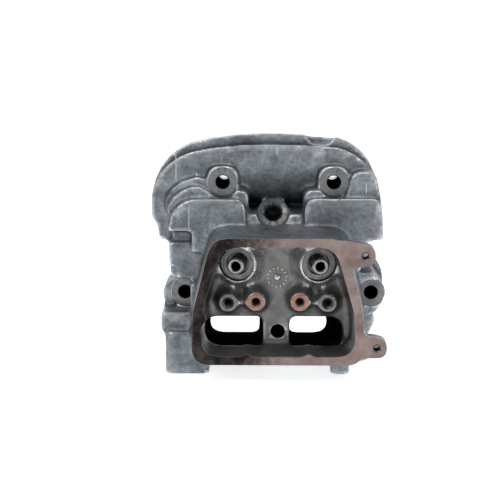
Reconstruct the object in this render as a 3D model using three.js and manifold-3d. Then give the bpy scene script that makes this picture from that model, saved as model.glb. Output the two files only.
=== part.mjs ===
// Cylinder head of an air-cooled overhead-valve engine, in millimetres, with +Z up.
// The rocker side faces -Y and the head gasket face (the deck) faces +Y. While the head is
// drawn, X = 0 is the plane between the two valves and Z = 0 is the plane of the port flanges.
import * as THREE from 'three';
import { mergeVertices } from 'three/addons/utils/BufferGeometryUtils.js';
import Module from 'manifold-3d';

const wasm = await Module();
wasm.setup();

// Driving dimensions -------------------------------------------------------------------
const GAP = 0.3; // between a pressed-in piece and the casting
const PAST = 1; // how far a cutter runs past the face it opens
const SMALL_RADIUS = 4; // round features up to this size get fewer sides
const SMALL_SIDES = 12;
const ROUND_SIDES = 20;
const CURVE_STEPS = 5; // steps in one stretch of an outline

const DECK_Y = 47; // head gasket face
const COVER_Y = -47; // rocker cover gasket face
const FLOOR_Y = -19; // floor of the rocker box
const ROOF_Y = -10; // front of the two port roofs
const CHEEK_Y = -7;
const STEP_Y = -5; // the step behind each roof, and the front crescent
const BOSS_Y = 0; // head bolt seats

const FIN_COUNT = 5;
const FIN_FRONT_Y = 6;
const FIN_PITCH = 7;
const FIN_THICKNESS = 3;
const FIN_LEFT = -87.5;
const FIN_RIGHT = 72;
const FIN_SHOULDER = 119.5; // above this height the fins step down from one to the next
const FIN_TOP = 162.6;
const FIRST_FIN_DROP = 7;
const FIN_STEP_DROP = 1.8;
const NOTCH = { left: 18.5, right: 39.5, depth: 8.1, taper: 5 };

const BORE_RADIUS = 41;
const BORE_Z = 79;
const CHAMBER = { half: 39, bottom: 57, top: 93.5, corner: 17, depth: 14, draft: 1.04 };
const DRUM_WALL = 10; // round the bore, behind the rocker box
const DECK_PLATE = 6;

const VALVE_TILT = THREE.MathUtils.degToRad(8);
const VALVE_X = 19.2; // where the valve axes cross the roof of the chamber
const VALVE_Z = 78.5;
const INTAKE = { side: -1, seatRadius: 18, throatRadius: 14.5, throat: 27 };
const EXHAUST = { side: 1, seatRadius: 16, throatRadius: 12.7, throat: 22 };
const SEAT_DEPTH = 6;
const GUIDE_RADIUS = 5.6;
const GUIDE_BORE = 3.1;
const GUIDE_PROUD = 14.35; // heights over the floor of the rocker box
const SPRING_RIM = 7.9;
const SPRING_LAND = 4.9;
const SPRING_WELL = -0.5;
const GUIDE_TO_SEAT = 17.8;
const SPRING_RADIUS = 11.4;
const SPRING_WALL = 1.3;
const WELL_RADIUS = 7.4;

const BOLT_RADIUS = 4.5;
const BOLT_SEAT_RADIUS = 10.2;
const UPPER_BOLT = { x: 38, z: 130.2 };
const SIDE_BOLT = { x: 64.4, z: 53.2 };
const WEB_BOLT = { x: 0, z: 30.2 };
const DOWEL_RADIUS = 6.5;
const DOWEL_WALL = 1.5;
const DOWEL_LENGTH = 12;
const DOWEL_PROUD = 5;

const PLUG = { x: -3.5, y: 15, z: 106.7, radius: 6.25, seatRadius: 11.1, reach: 19 };
const PLUG_LEAN = THREE.MathUtils.degToRad(28);
const PLUG_CLEARANCE = 40; // length of the tool's way in to the seat
const PLUG_APPROACH = { lean: THREE.MathUtils.degToRad(14), radius: 11.4 }; // a flatter way in
const SCOOP = { overlap: 7, drop: 12.6, depth: 24, straight: 3.5, wall: 4 };
const LEDGE = { front: -4, bottom: 95, top: 108.5 };

const BOX_WALL = 5.8;
const BOX_BOTTOM = 14;
const BOX_TOP = 100.3;
const BOX_SHOULDER = 43.6; // half widths of the rocker box
const BOX_KNEE = { x: 56.6, z: 50 };
const BOX_FOOT = 57.8;
const BOX_GROWTH = 1.044; // the box grows towards the fins
const CAVITY_DRAFT = 0.97; // and its inside shrinks towards the floor
const COVER_EAR = { radius: 6.8, depth: 10, hole: 2.5 };
const UPPER_EAR = { x: 57.5, z: 88.6 };
const LOWER_EAR = { x: 66, z: 26 };

const PAD = { x: 14.8, z: 54, y: -33, radius: 6.5, hole: 2.7 };
const STUD = { x: 33.6, z: 52.7, y: -31, radius: 6.2, hole: 3 };
const STUD_DEPTH = 16;
const RIB = 3.6;
const LIP = { x: 20.5, z: 18, radius: 3.8 };
const SIDE_LIP = { x: -52, z: 45.6, radius: 4.2 };
const OIL_HOLE = { x: -38, z: 86.5, radius: 2.7, depth: 8 };

const WELLS = {
  left: -51, right: 45.2, bottom: 16.8, top: 40.7, corner: 10, sink: 5.2, taper: 0.69,
};
const WEB = { left: -10, right: 8 }; // between the two pushrod wells

const LEFT_ROOF = { left: -75.2, right: -22.1, top: 120, bottom: 97.5 };
const RIGHT_ROOF = { left: 18, right: 72, top: 120.4, bottom: 91 };
const ROOF_STEP = { reach: 2, rise: 5, crest: 138 }; // beyond the roof in front of it
const CHEEK = { left: -75, right: -50, slot: -59, top: 89.2, bottom: 63.8 };

const INTAKE_FLANGE = { left: -77.4, right: -47.2, front: -20, back: 38, height: 29.5, corner: 6 };
const INTAKE_PORT = { x: -62.3, y: 12, radius: 11, width: 11, depth: 24, stem: 14 };
const INTAKE_STUDS = [-22, 20];
const EXHAUST_PORT = { x: 51.5, y: 26.5, radius: 9, mouth: 11.5, wall: 4, duct: 52 };
const EXHAUST_FLANGE = { height: 8, radius: 15.5, end: 7.5 };
const EXHAUST_STUDS = [{ x: 34.7, y: 19.5 }, { x: 67.3, y: 34.5 }];
const FLANGE_STUD = { radius: 3.3, depth: 18 };
const FOOT_BOSS = { x: 42.8, y: -13.5, radius: 6.6, hole: 3.3, height: 16, depth: 12 };

// Geometry helpers ---------------------------------------------------------------------
function solid(geometry) {
  const bare = geometry.clone();
  bare.deleteAttribute('normal');
  bare.deleteAttribute('uv');
  const merged = mergeVertices(bare, 1e-4);
  const vertProperties = new Float32Array(merged.attributes.position.array);
  const triVerts = new Uint32Array(merged.index.array);
  return new wasm.Manifold(new wasm.Mesh({ numProp: 3, vertProperties, triVerts }));
}

function joined(pieces) {
  return pieces.reduce((whole, piece) => whole.add(piece));
}

function cut(body, cutters) {
  return cutters.reduce((rest, cutter) => rest.subtract(cutter), body);
}

function meshOf(name, body, color, roughness, metalness) {
  const { vertProperties, triVerts } = body.getMesh();
  const geometry = new THREE.BufferGeometry();
  geometry.setAttribute('position', new THREE.BufferAttribute(vertProperties, 3));
  geometry.setIndex(new THREE.BufferAttribute(triVerts, 1));
  geometry.computeVertexNormals();
  const material = new THREE.MeshStandardMaterial({ color, roughness, metalness });
  const mesh = new THREE.Mesh(geometry, material);
  mesh.name = name;
  return mesh;
}

// An outline drawn in X and Z, stretched along Y.
function prism(shape, front, back) {
  const options = { depth: back - front, bevelEnabled: false, curveSegments: CURVE_STEPS };
  const geometry = new THREE.ExtrudeGeometry(shape, options);
  return geometry.rotateX(Math.PI / 2).translate(0, back, 0);
}

// A prism whose back end is stretched and moved in X and Z.
function drafted(shape, front, back, backPoint) {
  const geometry = prism(shape, front, back);
  const place = geometry.attributes.position;
  const middle = (front + back) / 2;
  for (let i = 0; i < place.count; i += 1) {
    if (place.getY(i) > middle) {
      const [x, z] = backPoint(place.getX(i), place.getZ(i));
      place.setX(i, x);
      place.setZ(i, z);
    }
  }
  return geometry;
}

// An outline drawn in Y and Z, stretched along X.
function crossPrism(points, left, right) {
  const options = { depth: right - left, bevelEnabled: false };
  const geometry = new THREE.ExtrudeGeometry(polygon(points), options);
  geometry.rotateX(Math.PI / 2).rotateZ(Math.PI / 2).translate(left, 0, 0);
  return solid(geometry);
}

function polygon(points) {
  return new THREE.Shape(points.map(([x, z]) => new THREE.Vector2(x, z)));
}

// A closed outline with each corner rounded by its own radius, [x, z, radius]. A rounding
// takes less than half of the shorter side beside it.
function rounded(corners) {
  const shape = new THREE.Shape();
  const points = corners.map(([x, z]) => new THREE.Vector2(x, z));
  corners.forEach(([x, z, radius], i) => {
    const corner = points[i];
    const before = points[(i + points.length - 1) % points.length];
    const after = points[(i + 1) % points.length];
    const shorter = Math.min(corner.distanceTo(before), corner.distanceTo(after));
    const reach = Math.min(radius, 0.48 * shorter);
    const start = before.clone().sub(corner).setLength(reach).add(corner);
    const end = after.clone().sub(corner).setLength(reach).add(corner);
    if (i === 0) {
      shape.moveTo(start.x, start.y);
    } else {
      shape.lineTo(start.x, start.y);
    }
    shape.quadraticCurveTo(x, z, end.x, end.y);
  });
  shape.closePath();
  return shape;
}

// A rounded outline whose corners are given from a centre, such as a bolt's.
function roundedAt({ x, z }, corners) {
  return rounded(corners.map(([dx, dz, radius]) => [x + dx, z + dz, radius]));
}

function sidesOf(radius) {
  return radius <= SMALL_RADIUS ? SMALL_SIDES : ROUND_SIDES;
}

function rod({ x, z }, front, back, radius, backRadius = radius) {
  const height = back - front;
  const geometry = new THREE.CylinderGeometry(backRadius, radius, height, sidesOf(radius));
  return solid(geometry.translate(x, (front + back) / 2, z));
}

function post({ x, y }, bottom, top, radius) {
  const geometry = new THREE.CylinderGeometry(radius, radius, top - bottom, sidesOf(radius));
  return solid(geometry.rotateX(Math.PI / 2).translate(x, y, (bottom + top) / 2));
}

function block(left, right, front, back, bottom, top) {
  const geometry = new THREE.BoxGeometry(right - left, back - front, top - bottom);
  return solid(geometry.translate((left + right) / 2, (front + back) / 2, (bottom + top) / 2));
}

function mirrored({ x, z }) {
  return { x: -x, z };
}

// Stations along a valve axis start at the roof of the chamber and are negative towards the
// rocker box.
const VALVE_START_Y = DECK_Y - CHAMBER.depth;

function valveRod(side, from, to, radius, endRadius = radius) {
  const geometry = new THREE.CylinderGeometry(endRadius, radius, to - from, sidesOf(radius));
  geometry.translate(0, (from + to) / 2, 0).rotateZ(side * VALVE_TILT);
  return solid(geometry.translate(side * VALVE_X, VALVE_START_Y, VALVE_Z));
}

// The station that lies this high over the floor of the rocker box.
function stationOver(height) {
  return (FLOOR_Y - height - VALVE_START_Y) / Math.cos(VALVE_TILT);
}

// Cylinders on the spark plug axis, or through the same seat at another lean: stations are
// negative outwards.
function plugRod(from, to, radius, lean = PLUG_LEAN) {
  const geometry = new THREE.CylinderGeometry(radius, radius, to - from, sidesOf(radius));
  geometry.translate(0, (from + to) / 2, 0).rotateX(-lean);
  return solid(geometry.translate(PLUG.x, PLUG.y, PLUG.z));
}

// Fins, scoop and core -----------------------------------------------------------------
function finOutline(drop) {
  const crown = (share) => FIN_SHOULDER + share * (FIN_TOP - drop - FIN_SHOULDER);
  const shape = new THREE.Shape();
  shape.moveTo(FIN_LEFT + 27.5, FIN_SHOULDER - 53.5);
  shape.lineTo(FIN_RIGHT - 12, FIN_SHOULDER - 53.5);
  shape.lineTo(FIN_RIGHT - 11, FIN_SHOULDER - 29);
  shape.lineTo(FIN_RIGHT, FIN_SHOULDER - 27.5);
  shape.lineTo(FIN_RIGHT, FIN_SHOULDER - 11.5);
  shape.lineTo(FIN_RIGHT - 2, FIN_SHOULDER);
  shape.lineTo(FIN_RIGHT - 6.7, crown(0.4));
  shape.bezierCurveTo(
    FIN_RIGHT - 10, crown(0.66), FIN_RIGHT - 22, crown(0.88), FIN_RIGHT - 32, crown(0.935),
  );
  shape.bezierCurveTo(-8, crown(1.045), FIN_LEFT + 49.5, crown(0.986), FIN_LEFT + 28, crown(0.847));
  shape.bezierCurveTo(
    FIN_LEFT + 13.5, crown(0.731), FIN_LEFT + 1, crown(0.383), FIN_LEFT, FIN_SHOULDER,
  );
  shape.lineTo(FIN_LEFT, FIN_SHOULDER - 15);
  shape.lineTo(FIN_LEFT + 3.5, FIN_SHOULDER - 20);
  shape.lineTo(FIN_LEFT + 5, FIN_SHOULDER - 30.5);
  shape.lineTo(FIN_LEFT + 11, FIN_SHOULDER - 31.5);
  shape.closePath();
  return shape;
}

function finFront(index) {
  return FIN_FRONT_Y + index * FIN_PITCH;
}

function fins() {
  return Array.from({ length: FIN_COUNT }, (_, i) => {
    const drop = i === 0 ? FIRST_FIN_DROP : (i - 1) * FIN_STEP_DROP;
    return solid(prism(finOutline(drop), finFront(i), finFront(i) + FIN_THICKNESS));
  });
}

// The notch in the second fin, over the right-hand bolt.
function finNotch() {
  const { left, right, depth, taper } = NOTCH;
  const floor = FIN_TOP - depth;
  const shoulder = floor + 1.3 * taper;
  const top = FIN_TOP + PAST;
  const notch = polygon([
    [left + taper, floor], [right - taper, floor], [right, shoulder], [right, top], [left, top],
    [left, shoulder],
  ]);
  return solid(prism(notch, finFront(1) - PAST, finFront(1) + FIN_THICKNESS + PAST));
}

// The air scoop: a smooth curved wall between the upper bolts that leads from the first fin
// back to the spark plug, down to a ledge in front of the plug.
const SCOOP_SIDE = UPPER_BOLT.x - SCOOP.overlap;
const SCOOP_TOP = FIN_TOP - SCOOP.drop;
const SCOOP_BACK = FIN_FRONT_Y + SCOOP.depth;
const SCOOP_BEND = SCOOP_TOP - LEDGE.top - SCOOP.straight;

function scoopCurve(offset) {
  const steps = 2 * CURVE_STEPS;
  const curve = Array.from({ length: steps + 1 }, (_, i) => {
    const turn = (i / steps) * (Math.PI / 2);
    const y = FIN_FRONT_Y + SCOOP.depth * (1 - Math.cos(turn));
    return [y + offset, SCOOP_TOP - SCOOP_BEND * Math.sin(turn)];
  });
  return [...curve, [SCOOP_BACK + offset, LEDGE.top]];
}

function scoopWall() {
  const outline = [...scoopCurve(0), ...scoopCurve(SCOOP.wall).reverse()];
  return crossPrism(outline, -SCOOP_SIDE, SCOOP_SIDE);
}

function scoopAir() {
  const front = ROOF_Y - PAST;
  return crossPrism([...scoopCurve(0), [front, LEDGE.top], [front, SCOOP_TOP]], -SCOOP_SIDE, SCOOP_SIDE);
}

function plugLedge() {
  const { front, bottom, top } = LEDGE;
  return block(LEFT_ROOF.right - PAST, RIGHT_ROOF.left + PAST, front, SCOOP_BACK + PAST, bottom, top);
}

function deckPlate() {
  const side = SIDE_BOLT.x + 11;
  const waist = BORE_RADIUS + 17;
  const top = UPPER_BOLT.z + 12.8;
  const outline = rounded([
    [-62, 4, 8], [58, 4, 8], [60, 36, 6], [side, SIDE_BOLT.z - 9, 7], [side, SIDE_BOLT.z + 9, 9],
    [waist, BORE_Z, 12], [UPPER_BOLT.x + 16, top, 22], [-UPPER_BOLT.x - 16, top, 22],
    [-waist, BORE_Z, 12], [-side, SIDE_BOLT.z + 9, 9], [-side, SIDE_BOLT.z - 9, 7], [-62, 36, 6],
  ]);
  return solid(prism(outline, DECK_Y - DECK_PLATE, DECK_Y));
}

function core() {
  const left = WELLS.left - 6;
  const top = WELLS.top + 5.3;
  const pushrodBlock = rounded([
    [left, 6, 6], [WELLS.right - 3, 6, 6], [WELLS.right + 7, 20, 6], [WELLS.right + 11, top, 8],
    [left, top, 8],
  ]);
  return [
    rod({ x: 0, z: BORE_Z }, finFront(0), DECK_Y, BORE_RADIUS + DRUM_WALL),
    solid(prism(pushrodBlock, FLOOR_Y, DECK_Y)),
    deckPlate(),
  ];
}

// Port roofs and side walls in front of the fins ---------------------------------------
function portRoofs() {
  const { left, right, top, bottom } = LEFT_ROOF;
  const hidden = BOX_TOP - 30; // inside the rocker box's walls
  const leftRoof = rounded([
    [left, bottom, 1], [left + 2.2, top - 10, 4], [left + 9.2, top - 2.5, 4], [left + 17.2, top, 4],
    [right, top, 9], [right, hidden, 2], [CHEEK.right, hidden, 2], [CHEEK.right, CHEEK.top - 6, 1],
    [CHEEK.slot, CHEEK.top - 6, 1], [CHEEK.slot, bottom, 1],
  ]);
  const rightRoof = rounded([
    [RIGHT_ROOF.left, RIGHT_ROOF.top, 8], [RIGHT_ROOF.right - 5, RIGHT_ROOF.top, 3],
    [RIGHT_ROOF.right - 1.4, RIGHT_ROOF.top - 4.4, 3], [RIGHT_ROOF.right, RIGHT_ROOF.bottom + 1, 2],
    [RIGHT_ROOF.right - 10, RIGHT_ROOF.bottom, 3], [RIGHT_ROOF.right - 14, RIGHT_ROOF.bottom - 3, 3],
    [RIGHT_ROOF.right - 15, hidden, 2], [RIGHT_ROOF.left, hidden, 2],
  ]);
  return [
    solid(prism(leftRoof, ROOF_Y, finFront(1))),
    solid(prism(rightRoof, ROOF_Y, finFront(1))),
    ...roofSteps(),
    ...cheek(),
  ];
}

// A step stands out a little behind the inner edge and the top of each roof. The right-hand
// one climbs past the bolt boss to a crest of its own.
function roofSteps() {
  const { reach, rise, crest } = ROOF_STEP;
  const leftEdge = LEFT_ROOF.right + reach;
  const leftTop = LEFT_ROOF.top + rise;
  const leftStep = rounded([
    [leftEdge - 24, BOX_TOP, 1], [leftEdge - 24, leftTop - 5, 1], [leftEdge - 9, leftTop + 0.5, 4],
    [leftEdge, leftTop - 1, 9], [leftEdge, BOX_TOP, 1],
  ]);
  const rightEdge = RIGHT_ROOF.left - reach + 1;
  const { x } = UPPER_BOLT;
  const rightStep = rounded([
    [rightEdge, BOX_TOP, 1], [rightEdge, RIGHT_ROOF.top + rise, 8], [x - 7, RIGHT_ROOF.top + rise, 6],
    [x - 2, RIGHT_ROOF.top - 3, 3], [x + 7, RIGHT_ROOF.top - 3, 4], [x + 12, crest, 6],
    [x + 28.5, crest, 7], [RIGHT_ROOF.right - 2, RIGHT_ROOF.top - 1, 3], [RIGHT_ROOF.right - 1, BOX_TOP, 1],
  ]);
  return [
    solid(prism(leftStep, STEP_Y, finFront(1))),
    solid(prism(rightStep, STEP_Y, finFront(1))),
  ];
}

// The side wall under the left roof, with a recessed band over it and a step at its corner.
function cheek() {
  const { left, right, slot, top, bottom } = CHEEK;
  const corner = left + 5.5;
  const front = rounded([
    [left, top, 1], [left + 0.3, bottom + 9, 1], [corner, bottom + 8.5, 1], [corner, bottom, 1],
    [right, bottom, 2], [right, top, 1],
  ]);
  const behind = rounded([
    [left + 3, LEFT_ROOF.bottom + 2.5, 1], [left + 0.6, bottom + 9, 3], [left + 1.2, bottom, 4],
    [slot, bottom, 1], [right, top, 1], [right, LEFT_ROOF.bottom + 2.5, 1],
  ]);
  return [
    solid(prism(front, CHEEK_Y, finFront(3))),
    solid(prism(behind, CHEEK_Y + 3.5, finFront(3))),
  ];
}

// Two crescent steps that run from the left port roof up to the boss of the left upper bolt.
function crescents() {
  const { x, z } = mirrored(UPPER_BOLT);
  const outer = new THREE.Shape();
  outer.moveTo(x - 38, z - 22.2);
  outer.bezierCurveTo(x - 43, z - 16.2, x - 38, z + 0.8, x - 18, z + 3.4);
  outer.bezierCurveTo(x - 12, z + 3.4, x - 10, z - 2.2, x - 8, z - 8.2);
  outer.lineTo(x - 8, z - 22.2);
  outer.closePath();
  const inner = new THREE.Shape();
  inner.moveTo(x - 36, z - 23.2);
  inner.bezierCurveTo(x - 42, z - 18.2, x - 34, z - 5.2, x - 20, z - 2.2);
  inner.bezierCurveTo(x - 12, z - 1.7, x - 6, z - 10.2, x + 1, z - 12.6);
  inner.lineTo(x + 1, z - 23.2);
  inner.closePath();
  return [
    solid(prism(outer, BOSS_Y, finFront(1))),
    solid(prism(inner, STEP_Y, finFront(1))),
  ];
}

// Bolt columns, spark plug boss and the lobes beside them ------------------------------
function upperBoss(x) {
  const half = BOLT_SEAT_RADIUS + 0.8;
  const arch = roundedAt({ x, z: UPPER_BOLT.z }, [
    [-half, half, 9.5], [half, half, 9.5], [half, -18.2, 1], [-half, -18.2, 1],
  ]);
  return solid(prism(arch, BOSS_Y, DECK_Y));
}

function boltColumns() {
  const rightLobe = roundedAt(SIDE_BOLT, [
    [-14.4, 20.2, 1], [0, 20.2, 2], [1.2, 13, 3], [9.6, 1.5, 4], [9, -6, 4], [3, -15.5, 2],
    [-14.4, -19.2, 1],
  ]);
  const brow = roundedAt(SIDE_BOLT, [[-14.4, 15, 1], [1.5, 15, 2], [7.2, 6, 2], [-14.4, 6, 1]]);
  const rightFoot = roundedAt(LOWER_EAR, [[-16, 12, 1], [-2, 11, 2], [3, 5, 3], [-3, -7, 3], [-16, -7, 1]]);
  const leftLobe = roundedAt(mirrored(SIDE_BOLT), [
    [4.4, 6.8, 1], [-9.6, 7.8, 5], [-16.6, -1.2, 4], [-14.1, -13.2, 2], [4.4, -13.2, 1],
  ]);
  return [
    upperBoss(-UPPER_BOLT.x),
    upperBoss(UPPER_BOLT.x),
    rod(mirrored(SIDE_BOLT), BOSS_Y, DECK_Y, BOLT_SEAT_RADIUS),
    solid(prism(rightLobe, BOSS_Y, DECK_Y)),
    solid(prism(brow, CHEEK_Y, BOSS_Y + PAST)),
    solid(prism(rightFoot, BOSS_Y + 8, DECK_Y - DECK_PLATE)),
    solid(prism(leftLobe, BOSS_Y + 6, INTAKE_FLANGE.back)),
    plugRod(0, PLUG.reach, PLUG.seatRadius),
  ];
}

// Port flanges -------------------------------------------------------------------------
// An outline drawn in X and Y, stretched along Z.
function column(shape, bottom, top) {
  const options = { depth: top - bottom, bevelEnabled: false, curveSegments: CURVE_STEPS };
  return solid(new THREE.ExtrudeGeometry(shape, options).translate(0, 0, bottom));
}

// Two round ends and a round middle, joined by straight sides.
function exhaustPlate() {
  const [near, far] = EXHAUST_STUDS;
  const { radius, end, height } = EXHAUST_FLANGE;
  const shape = new THREE.Shape();
  shape.absarc(far.x, far.y, end, -0.9, 1.75);
  shape.absarc(EXHAUST_PORT.x, EXHAUST_PORT.y, radius, 1.75, 2.25);
  shape.absarc(near.x, near.y, end, 2.25, 4.9);
  shape.absarc(EXHAUST_PORT.x, EXHAUST_PORT.y, radius, 4.9, 5.38);
  shape.closePath();
  return column(shape, 0, height);
}

function flanges() {
  const { left, right, front, back, height, corner } = INTAKE_FLANGE;
  const flange = rounded([
    [left, front, corner], [right, front, corner], [right, back, 2], [left, back, corner],
  ]);
  const collarTop = height + 12.5;
  const collar = rounded([
    [left - 3, height - 1, 2], [right - 2.8, height - 1, 1], [right - 2.8, collarTop, 1],
    [left - 2.6, collarTop, 2],
  ]);
  const duct = EXHAUST_PORT.radius + EXHAUST_PORT.wall;
  return [
    column(flange, 0, height),
    solid(prism(collar, front + 5, back)),
    block(left + 17.4, right + 2.2, front + 5, back, height, height + 32.5),
    exhaustPlate(),
    post(EXHAUST_PORT, EXHAUST_FLANGE.height / 2, EXHAUST_PORT.duct, duct),
    post(FOOT_BOSS, 0, FOOT_BOSS.height, FOOT_BOSS.radius),
  ];
}

// Rocker box ---------------------------------------------------------------------------
function boxOutline(inset) {
  const right = [
    [BOX_FOOT - inset, BOX_BOTTOM + inset, 13],
    [BOX_KNEE.x - inset, BOX_KNEE.z, 6],
    [BOX_SHOULDER - inset, BOX_TOP - inset, 11],
  ];
  const left = right.map(([x, z, radius]) => [-x, z, radius]).reverse();
  return rounded([...right, ...left]);
}

// Moves a point of the box's outline in or out from the middle of the box.
function scaledInBox(scale) {
  const middle = (BOX_TOP + BOX_BOTTOM) / 2;
  return (x, z) => [x * scale, middle + (z - middle) * scale];
}

function rockerBoxBody() {
  const { radius, depth } = COVER_EAR;
  const upperEar = rounded([
    [BOX_SHOULDER - 13, BOX_TOP - 1, 1], [BOX_SHOULDER, BOX_TOP - 1, 4],
    [UPPER_EAR.x + radius, UPPER_EAR.z + radius, 7.5], [UPPER_EAR.x + radius, UPPER_EAR.z - radius, 7.5],
    [BOX_SHOULDER + 6, UPPER_EAR.z - 7.6, 1], [BOX_SHOULDER - 13, UPPER_EAR.z - 7.6, 1],
  ]);
  const lowerEar = rounded([
    [BOX_FOOT - 18, LOWER_EAR.z - radius, 1], [LOWER_EAR.x + radius, LOWER_EAR.z - radius, 7.5],
    [LOWER_EAR.x + radius, LOWER_EAR.z + radius, 7.5], [BOX_FOOT - 1, LOWER_EAR.z + 8.8, 2],
    [BOX_FOOT - 18, LOWER_EAR.z + 14, 1],
  ]);
  return [
    solid(drafted(boxOutline(0), COVER_Y, finFront(0), scaledInBox(BOX_GROWTH))),
    solid(prism(upperEar, COVER_Y, COVER_Y + depth)),
    solid(prism(lowerEar, COVER_Y, COVER_Y + depth)),
  ];
}

function rockerCavity() {
  return solid(drafted(boxOutline(BOX_WALL), COVER_Y - PAST, FLOOR_Y, scaledInBox(CAVITY_DRAFT)));
}

// Bosses that stand on the floor of the rocker box, trimmed to the inside of the box.
function rockerBosses() {
  const foot = FLOOR_Y + 2;
  const bosses = [];
  for (const side of [-1, 1]) {
    const pad = { x: side * PAD.x, z: PAD.z };
    const stud = { x: side * STUD.x, z: STUD.z };
    const [ribLeft, ribRight] = [pad.x, stud.x].sort((a, b) => a - b);
    const rim = SPRING_RADIUS + SPRING_WALL;
    bosses.push(
      valveRod(side, stationOver(SPRING_RIM), stationOver(SPRING_WELL), rim, rim + 4.7),
      rod(pad, PAD.y, foot, PAD.radius, PAD.radius + 2.5),
      rod(stud, STUD.y, foot, STUD.radius, STUD.radius + 2.5),
      block(ribLeft, ribRight, STUD.y + 2, foot, STUD.z - RIB / 2, STUD.z + RIB / 2),
      rod({ x: side * LIP.x, z: LIP.z }, COVER_Y, FLOOR_Y, LIP.radius),
    );
  }
  bosses.push(rod(SIDE_LIP, COVER_Y, FLOOR_Y, SIDE_LIP.radius));
  const inside = solid(prism(boxOutline(BOX_WALL - PAST), COVER_Y, foot + PAST));
  return joined(bosses).intersect(inside);
}

// Pushrod wells, open from the rocker box to the deck. Both get lower and flatter towards
// the deck, and the right-hand one narrows to leave room for the exhaust duct.
function pushrodWells() {
  const { left, right, bottom, top, corner } = WELLS;
  const leftWell = rounded([
    [left, bottom, corner], [WEB.left, bottom, 5], [WEB.left, top, 4], [left, top, corner],
  ]);
  const rightWell = rounded([
    [WEB.right, bottom, 5], [right, bottom, corner], [right, top, corner], [WEB.right, top, 4],
  ]);
  const back = (z) => bottom - WELLS.sink + (z - bottom) * WELLS.taper;
  const leftBack = (x, z) => [x < (left + WEB.left) / 2 ? x + 2.4 : x - 3.5, back(z)];
  const rightBack = (x, z) => [x > (right + WEB.right) / 2 ? x - 10.4 : x, back(z)];
  return [
    solid(drafted(leftWell, FLOOR_Y - PAST, DECK_Y + PAST, leftBack)),
    solid(drafted(rightWell, FLOOR_Y - PAST, DECK_Y + PAST, rightBack)),
  ];
}

// Passages -----------------------------------------------------------------------------
function passage(points, width, depth) {
  const section = new THREE.Shape();
  section.absellipse(0, 0, depth / 2, width / 2, 0, 2 * Math.PI, false, 0);
  const stops = points.map(([x, y, z]) => new THREE.Vector3(x, y, z));
  const extrudePath = new THREE.CatmullRomCurve3(stops, false, 'centripetal');
  const options = { steps: 2 * CURVE_STEPS, bevelEnabled: false, curveSegments: 9, extrudePath };
  return solid(new THREE.ExtrudeGeometry(section, options));
}

// Each port leaves its throat above the seat, turns down past the pushrod wells and the
// side bolt, and ends in the flange below.
function ports() {
  const { x, y, radius, width, depth, stem } = INTAKE_PORT;
  const out = EXHAUST_PORT;
  const intakePath = [
    [-VALVE_X - 2, y, VALVE_Z - 2], [-VALVE_X - 21, y, VALVE_Z - 16.5], [x + 7, y, 45], [x, y, 24],
    [x, y, -PAST],
  ];
  const exhaustPath = [
    [VALVE_X + 3, out.y, VALVE_Z - 2], [VALVE_X + 18, out.y, VALVE_Z - 14.5], [out.x - 1, out.y, 45],
    [out.x, out.y, 22], [out.x, out.y, -PAST],
  ];
  return [
    passage(intakePath, width, depth),
    post({ x, y }, -PAST, stem, radius),
    valveRod(INTAKE.side, -INTAKE.throat, 0, INTAKE.throatRadius - 1),
    passage(exhaustPath, 2 * out.radius, 2 * out.radius),
    post(out, -PAST, 5, out.mouth),
    valveRod(EXHAUST.side, -EXHAUST.throat, 0, EXHAUST.throatRadius - 1),
  ];
}

// A bathtub across both valves, which widens a little towards the deck.
function chamber() {
  const { half, bottom, top, corner, depth, draft } = CHAMBER;
  const outline = rounded([
    [-half, bottom, corner], [half, bottom, corner], [half, top, corner], [-half, top, corner],
  ]);
  const middle = (bottom + top) / 2;
  const widened = (x, z) => [x * draft, middle + (z - middle) * draft];
  return solid(drafted(outline, DECK_Y - depth, DECK_Y + PAST, widened));
}

// Drillings ----------------------------------------------------------------------------
function valveCuts({ side, seatRadius }) {
  const land = stationOver(SPRING_LAND);
  const well = stationOver(SPRING_WELL);
  return [
    valveRod(side, -SEAT_DEPTH - GAP, CHAMBER.depth, seatRadius + GAP),
    valveRod(side, stationOver(GUIDE_PROUD + PAST), land, SPRING_RADIUS),
    valveRod(side, land - PAST, well, WELL_RADIUS),
    valveRod(side, well - PAST, PAST - GUIDE_TO_SEAT, GUIDE_RADIUS + GAP),
  ];
}

function pairedDrillings(side) {
  const upper = { x: side * UPPER_BOLT.x, z: UPPER_BOLT.z };
  const sideBolt = { x: side * SIDE_BOLT.x, z: SIDE_BOLT.z };
  const dowelFront = DECK_Y - DOWEL_LENGTH + DOWEL_PROUD;
  return [
    rod(upper, BOSS_Y - PAST, DECK_Y + PAST, BOLT_RADIUS),
    rod(upper, ROOF_Y - PAST, BOSS_Y, BOLT_SEAT_RADIUS),
    rod(sideBolt, BOSS_Y - PAST, DECK_Y + PAST, BOLT_RADIUS),
    rod(sideBolt, ROOF_Y - PAST, BOSS_Y, BOLT_SEAT_RADIUS),
    rod({ x: side * PAD.x, z: PAD.z }, PAD.y - PAST, PAD.y + STUD_DEPTH, PAD.hole),
    rod({ x: side * STUD.x, z: STUD.z }, STUD.y - PAST, STUD.y + STUD_DEPTH, STUD.hole),
    rod(upper, dowelFront - GAP, DECK_Y + PAST, DOWEL_RADIUS + GAP),
  ];
}

// Ends just in front of the seat's lower edge.
function plugApproach() {
  const { lean, radius } = PLUG_APPROACH;
  const end = -PLUG.seatRadius * Math.tan(PLUG_LEAN - lean);
  return plugRod(-PLUG_CLEARANCE, end, radius, lean);
}

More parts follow.
